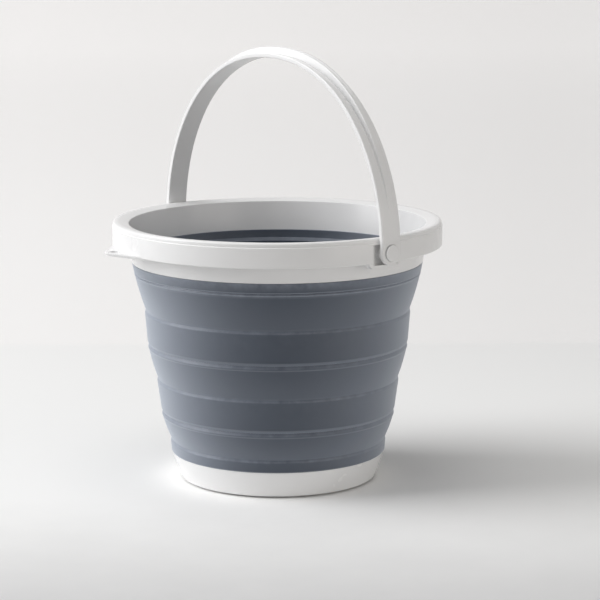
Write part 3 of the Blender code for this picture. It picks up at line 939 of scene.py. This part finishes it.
    def carve_tab(self, collar: bpy.types.Object) -> None:
        """Give the collar its hang tab, a plate with a round nose, a chamfer below and a hole.

        Args:
            collar: The turned collar.
        """
        root_radius = self.rim_radius - self.skirt_wall / 2
        half_turn = self.tab_half_length / root_radius
        nose = Vector((self.rim_radius + self.tab_reach - self.tab_tip_radius, 0.0))
        root = arc(root_radius, -half_turn, half_turn, self.tab_facets)
        side = root[-1] - nose
        touch = math.atan2(side.y, side.x) - math.acos(self.tab_tip_radius / side.length)
        turn = Matrix.Rotation(math.radians(self.tab_turn_deg), 2)
        bottom = self.skirt_bottom + self.tab_lift
        top = bottom + self.tab_thickness
        rings = []
        for level, inset in ((bottom, self.tab_chamfer), (bottom + self.tab_chamfer, 0.0), (top, 0.0)):
            tip = arc(self.tab_tip_radius - inset, touch, -touch, self.tab_facets)
            outline = root + [nose + point for point in tip]
            rings.append([Vector((*(turn @ point), level)) * MM for point in outline])
        tab = bmesh.new()
        loft(tab, rings)
        carve(collar, Carving.JOIN, piece_from(tab, "hang_tab_shape"))
        rim = arc(self.tab_hole_radius, 0.0, 2 * math.pi, 2 * self.tab_facets)[:-1]
        hole = bmesh.new()
        plate(hole, [turn @ (nose + point) for point in rim], bottom - OVERSHOOT, top + OVERSHOOT)
        carve(collar, Carving.CUT, piece_from(hole, "hang_hole_shape"))

    def build(self, lathe: Lathe, white: bpy.types.Material) -> list[bpy.types.Object]:
        """Build and dress the collar.

        Args:
            lathe: The tree that turns the section.
            white: The collar's finish.

        Returns:
            The collar.
        """
        collar = lathe.turn("rim_collar_shell", self.profile(), white, facets=self.facets)
        self.carve_seats(collar)
        self.carve_tab(collar)
        soften(collar, self.mould_round)
        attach(collar, "collar")
        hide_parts("rim_collar")
        return [collar]


@dataclass
class SnapPin:
    """A snap pin: barb behind the seat, shank through the bail's eye and head outside it."""

    side: Side
    corners: tuple[Corner, ...] = (
        (0.0, 147.4, 0.0), (3.2, 147.4, 0.6), (5.2, 151.0, 0.3), (4.0, 151.0, 0.0), (4.0, 165.4, 0.0),
        (7.6, 165.4, 0.3), (7.6, 167.0, 0.7), (0.0, 167.0, 0.0))
    facets: int = 96

    def build(self, lathe: Lathe, white: bpy.types.Material) -> list[bpy.types.Object]:
        """Build and dress the pin.

        Args:
            lathe: The tree that turns the section.
            white: The pin's finish.

        Returns:
            The pin.
        """
        name = self.side.name.lower()
        pin = lathe.turn(f"snap_pin_{name}", rounded(list(self.corners), closed=False), white,
                         closed=False, facets=self.facets)
        turn = Matrix.Rotation(self.side.value * math.pi / 2, 4, "Y")
        pin.data.transform(Matrix.Translation((0.0, 0.0, PIVOT * MM)) @ turn)
        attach(pin, "collar")
        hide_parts(f"pivot_pin_{name}")
        return [pin]


@dataclass(frozen=True)
class Station:
    """A cut across the bail: its place and outward direction in the XZ plane, and its section's sizes."""

    place: Vector
    outwards: Vector
    half_width: float
    rib: float
    groove: float


@dataclass
class Bail:
    """The bail: a band round an arch, with a rib on its outer face and an eye at each end."""

    reach: float = 160.6
    height: float = 170.5
    width: float = 22.8
    thickness: float = 4.5
    edge: float = 1.0
    side_power: float = 2.17
    top_power: float = 2.0
    rib_low: float = -0.7
    rib_high: float = 5.9
    rib_height: float = 5.2
    rib_start: float = 0.2
    rib_power: float = 1.25
    rib_lean: float = 0.3
    rib_fillet: float = 0.9
    dip: float = 2.8
    dip_run: float = 5.0
    dip_fillet: float = 0.2
    groove_width: float = 2.2
    groove_depth: float = 1.0
    groove_start: float = 0.72
    groove_ramp: float = 2.0
    eye_turn_deg: float = 88.0
    hole_radius: float = 4.3
    recess_radius: float = 8.2
    recess_depth: float = 0.6
    arch_steps: int = 220
    eye_steps: int = 22

    def section(self, station: Station) -> list[Vector]:
        """The band's section, with a rib whose height also sets how far the near face dips towards it.

        Args:
            station: The cut across the bail.

        Returns:
            The section as (across, outwards) points, in metres.
        """
        half_width, rib = station.half_width, station.rib
        edge = min(self.edge, half_width / 2)
        low = max(min(self.rib_low, half_width - edge), -half_width + edge)
        high = max(min(self.rib_high, half_width - edge), low + MIN_STEP)
        face = self.thickness
        crest = face + max(rib, MIN_STEP)
        middle = (low + high) / 2
        half_groove = min(self.groove_width / 2, (high - low) / 4)
        floor = crest - max(station.groove, 0.0)
        fillet = min(self.rib_fillet, max(rib, 2 * MIN_STEP) / 2)
        dip = min(self.dip, rib)
        run = min(self.dip_run, (low + half_width) / 2)
        return rounded([
            (-half_width, 0.0, edge), (-half_width, face, edge), (low - run, face - dip / 5, run / 3),
            (low - run / 4, face - dip / 2, run / 5), (low, face - dip, self.dip_fillet),
            (low + self.rib_lean, crest, fillet), (middle - half_groove, crest, 0.0),
            (middle, floor, 0.0), (middle + half_groove, crest, 0.0), (high, crest, fillet),
            (high + self.rib_lean, face, fillet), (half_width, face, edge), (half_width, 0.0, edge)])

    def eye_stations(self) -> list[Station]:
        """Stations round the right-hand eye, from its foot up to the arch.

        Returns:
            Stations about the pivot, in millimetres.
        """
        half = self.width / 2
        stations = []
        for step in range(self.eye_steps):
            turn = math.radians(self.eye_turn_deg) * (1 - step / self.eye_steps)
            stations.append(Station(Vector((self.reach, -half * math.sin(turn))), Vector((1.0, 0.0)),
                                    half * math.cos(turn), 0.0, 0.0))
        return stations

    def arch_stations(self) -> list[Station]:
        """Stations over the arch, from the right-hand side to the left-hand one.

        Returns:
            Stations about the pivot, in millimetres.
        """
        stations = []
        for step in range(self.arch_steps + 1):
            turn = math.pi * step / self.arch_steps
            side = math.copysign(abs(math.cos(turn)) ** (2 / self.side_power), math.cos(turn))
            rise = abs(math.sin(turn)) ** (2 / self.top_power)
            lean = math.copysign(abs(side) ** (self.side_power - 1), side) * self.side_power / self.reach
            lift = rise ** (self.top_power - 1) * self.top_power / self.height
            share = max(rise - self.rib_start, 0.0) / (1 - self.rib_start)
            near_top = max(rise - self.groove_start, 0.0) / (1 - self.groove_start)
            stations.append(Station(
                Vector((self.reach * side, self.height * rise)), Vector((lean, lift)).normalized(),
                self.width / 2, self.rib_height * share ** self.rib_power,
                self.groove_depth * min(near_top * self.groove_ramp, 1.0)))
        return stations

    def build(self, white: bpy.types.Material) -> list[bpy.types.Object]:
        """Build and dress the bail.

        Args:
            white: The bail's finish.

        Returns:
            The bail.
        """
        eye = self.eye_stations()
        mirrored = [Station(Vector((-cut.place.x, cut.place.y)), -cut.outwards, cut.half_width,
                            cut.rib, cut.groove) for cut in reversed(eye)]
        rings = []
        for cut in eye + self.arch_stations() + mirrored:
            ring = []
            for point in self.section(cut):
                place = cut.place * MM + cut.outwards * point.y
                ring.append(Vector((place.x, point.x, PIVOT * MM + place.y)))
            rings.append(ring)
        band = bmesh.new()
        loft(band, rings)
        bail = piece_from(band, "bail_band", white)
        outer = self.reach + self.thickness
        holes = bmesh.new()
        bar(holes, self.hole_radius, -outer - OVERSHOOT, outer + OVERSHOOT, PIVOT)
        carve(bail, Carving.CUT, piece_from(holes, "eye_holes_shape"))
        for side in Side:
            recess = bmesh.new()
            bar(recess, self.recess_radius, side.value * (outer - self.recess_depth),
                side.value * (outer + OVERSHOOT), PIVOT)
            carve(bail, Carving.CUT, piece_from(recess, "eye_recess_shape"))
        bail.data.shade_smooth()
        bail.data.set_sharp_from_angle(angle=math.radians(SHARP_DEG))
        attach(bail, "bail")
        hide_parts("bail_handle")
        return [bail]


@dataclass(frozen=True)
class Softbox:
    """A softbox: its place from the bucket in millimetres, its two sides in metres, and its light."""

    name: str
    place: tuple[float, float, float]
    size: tuple[float, float]
    watts: float
    colour: str


@dataclass
class Studio:
    """The pale floor, the soft lights and the camera."""

    camera_place: tuple[float, float, float] = (1725.3, -1422.3, 575.1)
    camera_pitch_deg: float = 10.16
    camera_heading_deg: float = 49.94
    camera_roll_deg: float = -0.12
    lens: float = 139.51
    sensor: float = 36.0
    view_end: float = 100.0
    away_deg: float = 50.5
    floor_size: float = 60000.0
    floor_colours: tuple[str, str] = ("#bababb", "#f9f9f8")
    floor_roughness: float = 0.75
    cloud_size: float = 90.0
    cloud_detail: float = 4.0
    cloud_break: float = 0.6
    cloud_amount: float = 0.16
    ripple_depth: float = 1.2
    ripple_strength: float = 0.4
    painted_shade_band: float = -480.0
    painted_shade_width: float = 560.0
    dull_colour: str = "#9a9997"
    sweep: tuple[float, float] = (600.0, 1300.0)
    horizon: float = 657.0
    horizon_blur: float = 15.0
    wall_colours: tuple[str, str] = ("#f0eeed", "#e2e0df")
    wall_cover: float = 0.65
    wall_strength: tuple[float, float] = (1.04, 1.34)
    wall_reach: float = 6000.0
    wall_fan: float = 2236.0
    wall_spread: float = 0.11
    room_colour: str = "#f6f5f4"
    room_light: float = 0.28
    paper_colour: str = "#e9e7e6"
    paper_grain: float = 0.3
    aim_height: float = 160.0
    softboxes: tuple[Softbox, ...] = (
        Softbox("window_softbox", (-3380.0, -80.0, 2110.0), (2.7, 3.4), 141.0, "#fefeff"),
        Softbox("ceiling_softbox", (-500.0, -300.0, 2950.0), (2.4, 2.4), 24.0, "#ffffff"),
        Softbox("fill_softbox", (1500.0, -1100.0, 250.0), (1.4, 1.0), 7.6, "#fff9f2"))

    def towards(self, right: float, away: float, up: float) -> Vector:
        """A place as it lies from the bucket's foot for someone at the camera.

        Args:
            right: How far to the right, in millimetres.
            away: How far from the camera, in millimetres.
            up: How far up, in millimetres.

        Returns:
            The place in metres.
        """
        turn = math.radians(self.away_deg)
        across = Vector((math.cos(turn), math.sin(turn), 0.0))
        ahead = Vector((-math.sin(turn), math.cos(turn), 0.0))
        return (across * right + ahead * away + Vector((0.0, 0.0, up))) * MM

    def seen_rays(self, tree: bpy.types.NodeTree) -> bpy.types.NodeSocket:
        """Tell the rays that show a surface from those that only light one.

        Args:
            tree: The node tree that gets the nodes.

        Returns:
            One for camera, glossy and transmission rays, zero for the others.
        """
        path = add_node(tree, "ShaderNodeLightPath").outputs
        seen = path["Is Camera Ray"]
        for kind in ("Is Glossy Ray", "Is Transmission Ray"):
            seen = add_node(tree, "ShaderNodeMath", {0: seen, 1: path[kind]}, operation="MAXIMUM").outputs[0]
        return seen

    def paper_tone(self, tree: bpy.types.NodeTree) -> bpy.types.NodeSocket:
        """Give the backdrop a grain finer than a pixel, which evens out to one soft tone.

        Args:
            tree: The node tree that gets the nodes.

        Returns:
            A brightness that averages one.
        """
        place = add_node(tree, "ShaderNodeTexCoord").outputs["Object"]
        grain = add_node(tree, "ShaderNodeTexWhiteNoise", {"Vector": place})
        return add_node(tree, "ShaderNodeMapRange", {
            "Value": grain.outputs["Value"], "To Min": 1 - self.paper_grain,
            "To Max": 1 + self.paper_grain}).outputs[0]

    def lay_plaster(self, tree: bpy.types.NodeTree, place: bpy.types.NodeSocket,
                    far: bpy.types.NodeSocket, beyond: bpy.types.NodeSocket,
                    seen: bpy.types.NodeSocket) -> None:
        """Make the floor's own shader pale plaster, trowelled smooth, with a band of painted shade in front
        of the bucket.

        Args:
            tree: The floor's node tree.
            place: The place on the floor.
            far: How far away from the camera the place lies, counted from the bucket.
            beyond: Zero on this side of the horizon, one past it.
            seen: One for rays that show the floor, zero for those that only light by it.
        """
        # The trowel leaves clouds a hand wide and low ripples; a band in front of the bucket is darker,
        # painted shade for light that falls off there
        clouds = add_node(tree, "ShaderNodeTexNoise", {
            "Vector": place, "Scale": 1 / (self.cloud_size * MM), "Detail": self.cloud_detail,
            "Roughness": self.cloud_break}).outputs["Fac"]
        past_painted_shade = add_node(tree, "ShaderNodeMath", {0: far, 1: self.painted_shade_band * MM}, operation="SUBTRACT")
        off_painted_shade = add_node(tree, "ShaderNodeMath", {0: past_painted_shade.outputs[0]}, operation="ABSOLUTE")
        outside_painted_shade = add_node(tree, "ShaderNodeMapRange", {
            "Value": off_painted_shade.outputs[0], "From Min": -self.painted_shade_width / 2 * MM,
            "From Max": self.painted_shade_width * MM}, interpolation_type="SMOOTHERSTEP")
        cloudy = add_node(tree, "ShaderNodeMath", {
            0: clouds, 1: self.cloud_amount, 2: outside_painted_shade.outputs[0]}, operation="MULTIPLY_ADD")
        plaster = add_node(tree, "ShaderNodeMix", {
            0: cloudy.outputs[0], 6: linear_colour(self.floor_colours[0]),
            7: linear_colour(self.floor_colours[1])}, data_type="RGBA")
        # Further out lies the studio's duller floor, which lights the bucket but isn't shown
        reach = add_node(tree, "ShaderNodeVectorMath", {0: place}, operation="LENGTH")
        outside = add_node(tree, "ShaderNodeMapRange", {
            "Value": reach.outputs["Value"], "From Min": self.sweep[0] * MM,
            "From Max": self.sweep[1] * MM})
        dull = add_node(tree, "ShaderNodeMath", {0: outside.outputs[0], 1: seen},
                        operation="SUBTRACT", use_clamp=True)
        tint = add_node(tree, "ShaderNodeMix", {
            0: dull.outputs[0], 6: plaster.outputs[2], 7: linear_colour(self.dull_colour)},
            data_type="RGBA")
        relief = add_node(tree, "ShaderNodeMapRange", {
            "Value": beyond, "To Min": self.ripple_strength, "To Max": 0.0})
        bump = add_node(tree, "ShaderNodeBump", {
            "Height": clouds, "Strength": relief.outputs[0], "Distance": self.ripple_depth * MM})
        feed(tree, tree.nodes["Principled BSDF"], {
            "Base Color": tint.outputs[2], "Normal": bump.outputs[0], "Roughness": self.floor_roughness})

    def paint_wall(self, tree: bpy.types.NodeTree, place: bpy.types.NodeSocket,
                   far: bpy.types.NodeSocket) -> bpy.types.Node:
        """Make the glowing paint that turns the floor past the horizon to a wall: painted light, paler to
        the left, standing in for a wall lit from that side.

        Args:
            tree: The floor's node tree.
            place: The place on the floor.
            far: How far away from the camera the place lies, counted from the bucket.

        Returns:
            The paint's emission.
        """
        wide = add_node(tree, "ShaderNodeVectorMath", {
            0: place, 1: self.towards(1000.0, 0.0, 0.0)}, operation="DOT_PRODUCT")
        depth = add_node(tree, "ShaderNodeMath", {0: far, 1: self.wall_fan * MM}, operation="ADD")
        spread = add_node(tree, "ShaderNodeMath", {
            0: wide.outputs["Value"], 1: depth.outputs[0]}, operation="DIVIDE")
        shade = add_node(tree, "ShaderNodeMapRange", {
            "Value": spread.outputs[0], "From Min": -self.wall_spread, "From Max": self.wall_spread})
        wall_glow = add_node(tree, "ShaderNodeMix", {
            0: shade.outputs[0], 6: linear_colour(self.wall_colours[0]),
            7: linear_colour(self.wall_colours[1])}, data_type="RGBA")
        # Light on the plaster fades with distance, and the paint makes up for it
        level = add_node(tree, "ShaderNodeMapRange", {
            "Value": far, "From Min": self.horizon * MM, "From Max": self.wall_reach * MM,
            "To Min": self.wall_strength[0], "To Max": self.wall_strength[1]})
        strength = add_node(tree, "ShaderNodeMath", {
            0: level.outputs[0], 1: self.paper_tone(tree)}, operation="MULTIPLY")
        return add_node(tree, "ShaderNodeEmission", {
            "Color": wall_glow.outputs[2], "Strength": strength.outputs[0]})

    def floor_material(self) -> bpy.types.Material:
        """Pale mineral plaster, trowelled smooth, which turns to a painted wall past the horizon.

        Returns:
            The floor's material.
        """
        material = bpy.data.materials.new("pale_trowelled_plaster")
        material.use_nodes = True
        tree = material.node_tree
        place = add_node(tree, "ShaderNodeTexCoord").outputs["Object"]
        seen = self.seen_rays(tree)
        far = add_node(tree, "ShaderNodeVectorMath", {
            0: place, 1: self.towards(0.0, 1000.0, 0.0)}, operation="DOT_PRODUCT").outputs["Value"]
        beyond = add_node(tree, "ShaderNodeMapRange", {
            "Value": far, "From Min": (self.horizon - self.horizon_blur) * MM,
            "From Max": (self.horizon + self.horizon_blur) * MM},
            interpolation_type="SMOOTHSTEP").outputs[0]
        self.lay_plaster(tree, place, far, beyond, seen)
        glow = self.paint_wall(tree, place, far)
        # The paint covers thinly: some of the lit plaster shows through, with its soft unevenness
        covered = add_node(tree, "ShaderNodeMath", {0: beyond, 1: self.wall_cover}, operation="MULTIPLY")
        shown = add_node(tree, "ShaderNodeMath", {0: seen, 1: covered.outputs[0]}, operation="MULTIPLY")
        mixed = add_node(tree, "ShaderNodeMixShader", {
            0: shown.outputs[0], 1: tree.nodes["Principled BSDF"].outputs[0], 2: glow.outputs[0]})
        feed(tree, tree.nodes["Material Output"], {"Surface": mixed.outputs[0]})
        return material

    def build_floor(self) -> None:
        half = self.floor_size / 2 * MM
        bm = bmesh.new()
        bm.faces.new([bm.verts.new((x, y, 0.0)) for x, y in
                      ((-half, -half), (half, -half), (half, half), (-half, half))])
        mesh = bpy.data.meshes.new("pale_floor")
        bm.to_mesh(mesh)
        bm.free()
        mesh.materials.append(self.floor_material())
        floor = bpy.data.objects.new("pale_floor", mesh)
        bpy.context.collection.objects.link(floor)

    def build_world(self) -> None:
        """Fill the room with even pale light, and show pale paper behind the bucket."""
        world = bpy.data.worlds.new("pale_room")
        bpy.context.scene.world = world
        world.use_nodes = True
        tree = world.node_tree
        tree.nodes.clear()
        light = add_node(tree, "ShaderNodeBackground", {
            "Color": linear_colour(self.room_colour), "Strength": self.room_light})
        backdrop = add_node(tree, "ShaderNodeBackground", {
            "Color": linear_colour(self.paper_colour), "Strength": self.paper_tone(tree)})
        mixed = add_node(tree, "ShaderNodeMixShader", {
            0: self.seen_rays(tree), 1: light.outputs[0], 2: backdrop.outputs[0]})
        add_node(tree, "ShaderNodeOutputWorld", {"Surface": mixed.outputs[0]})

    def hang(self, box: Softbox) -> None:
        """Hang a softbox that faces the bucket.

        Args:
            box: The softbox.
        """
        data = bpy.data.lights.new(box.name, "AREA")
        data.shape = "RECTANGLE"
        data.size, data.size_y = box.size
        data.energy = box.watts
        data.color = linear_colour(box.colour)[:3]
        lamp = bpy.data.objects.new(box.name, data)
        bpy.context.collection.objects.link(lamp)
        lamp.location = self.towards(*box.place)
        aim = Vector((0.0, 0.0, self.aim_height * MM)) - lamp.location
        lamp.rotation_euler = aim.to_track_quat("-Z", "Y").to_euler()

    def build_camera(self) -> None:
        """Set the camera where the photograph was taken from, with everything in focus."""
        data = bpy.data.cameras.new("camera")
        data.lens = self.lens
        data.sensor_width = self.sensor
        data.clip_end = self.view_end
        camera = bpy.data.objects.new("camera", data)
        bpy.context.collection.objects.link(camera)
        heading = Matrix.Rotation(math.radians(self.camera_heading_deg), 4, "Z")
        pitch = Matrix.Rotation(math.radians(90.0 - self.camera_pitch_deg), 4, "X")
        roll = Matrix.Rotation(math.radians(self.camera_roll_deg), 4, "Z")
        place = Matrix.Translation(Vector(self.camera_place) * MM)
        camera.matrix_world = place @ heading @ pitch @ roll
        bpy.context.scene.camera = camera

    def build(self) -> None:
        """Set up the floor, the lights and the camera."""
        self.build_floor()
        self.build_world()
        for box in self.softboxes:
            self.hang(box)
        self.build_camera()
        bpy.context.scene.view_settings.view_transform = "Standard"


def main() -> None:
    """Build and dress every piece, report each one, and light the scene."""
    logging.basicConfig(level=logging.INFO, format="%(name)s: %(message)s")
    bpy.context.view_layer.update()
    lathe = Lathe()
    white = MouldedPolypropylene().build()
    rubber = SoftRubber().build()
    pieces = BaseCup().build(lathe, white)
    pieces += SoftWall().build(lathe, rubber)
    pieces += RimCollar().build(lathe, white)
    for side in Side:
        pieces += SnapPin(side).build(lathe, white)
    pieces += Bail().build(white)
    for piece in pieces:
        log.info("%s is dressed", piece.name)
    Studio().build()
    log.info("the studio is set up")


if __name__ == "__main__":
    main()
